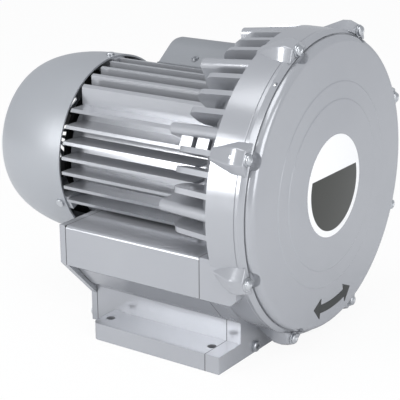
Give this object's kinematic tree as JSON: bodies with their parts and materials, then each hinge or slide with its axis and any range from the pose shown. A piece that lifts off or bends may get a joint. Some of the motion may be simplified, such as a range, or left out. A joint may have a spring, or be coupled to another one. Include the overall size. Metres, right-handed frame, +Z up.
{
  "type": "side channel blower",
  "caption": "Fan-cooled motor driving a vaned impeller in a round side channel casing, on a hollow base with silencer chambers and hose ports at the rear.",
  "frame": {"origin": "on the floor, in the middle of the four foot holes", "axes": "+X along the motor axis towards the pump cover, +Z up"},
  "size_m": [0.2874, 0.238, 0.245],
  "materials": {
    "casting_paint": "semi-gloss silver-grey paint on cast aluminium",
    "cowl_paint": "semi-gloss silver-grey paint on pressed sheet",
    "box_paint": "satin silver-grey paint",
    "zinc_screw": "bright zinc plate",
    "steel": "ground steel",
    "lamination": "stacked electrical steel",
    "copper_wire": "varnished copper winding",
    "bare_aluminium": "machined cast aluminium",
    "gasket_rubber": "matt black sheet rubber",
    "foam": "open-cell grey foam",
    "label_face": "white film with a dark lower part",
    "black_plastic": "black moulded nylon",
    "terminal_plastic": "cream moulded plastic",
    "terminal_brass": "nickelled brass",
    "capacitor_shell": "pale grey plastic can"
  },
  "bodies": {
    "root": {"base_casting": "casting_paint", "rear_port_plate": "casting_paint", "pump_housing": "casting_paint", "front_end_shield": "casting_paint", "pump_cover": "casting_paint", "motor_frame": "casting_paint", "rear_end_shield": "casting_paint", "fan_cowl": "cowl_paint", "terminal_box": "box_paint", "terminal_box_cover": "box_paint", "saddle_screws": "zinc_screw", "base_screws": "zinc_screw", "port_plate_screws": "zinc_screw", "housing_screws": "zinc_screw", "cover_screws": "zinc_screw", "cover_washers": "zinc_screw", "tie_bolts": "zinc_screw", "cowl_screws": "zinc_screw", "lid_screws": "zinc_screw", "locating_pins": "steel", "wave_washer": "steel", "bearing_outer_rings": "steel", "stator_core": "lamination", "stator_windings": "copper_wire", "duct_gasket": "gasket_rubber", "port_plate_gasket": "gasket_rubber", "cover_gasket": "gasket_rubber", "terminal_box_gasket": "gasket_rubber", "shaft_seal": "gasket_rubber", "silencer_foam": "foam", "cover_label_plate": "label_face", "cable_gland": "black_plastic", "terminal_block": "terminal_plastic", "terminal_studs": "terminal_brass", "run_capacitor": "capacitor_shell"},
    "rotor": {"rotor_shaft": "steel", "rotor_core": "lamination", "cage_end_rings": "bare_aluminium", "bearing_inner_rings": "steel", "bearing_balls": "steel", "impeller": "bare_aluminium", "impeller_key": "steel", "impeller_washer": "zinc_screw", "impeller_nut": "zinc_screw", "cooling_fan": "black_plastic", "fan_circlip": "steel"}
  },
  "joints": [
    {"name": "rotor_spin", "type": "hinge", "parent": "root", "child": "rotor", "pos_m": [0, 0, 0.126], "axis": [1, 0, 0], "continuous": true}
  ]
}
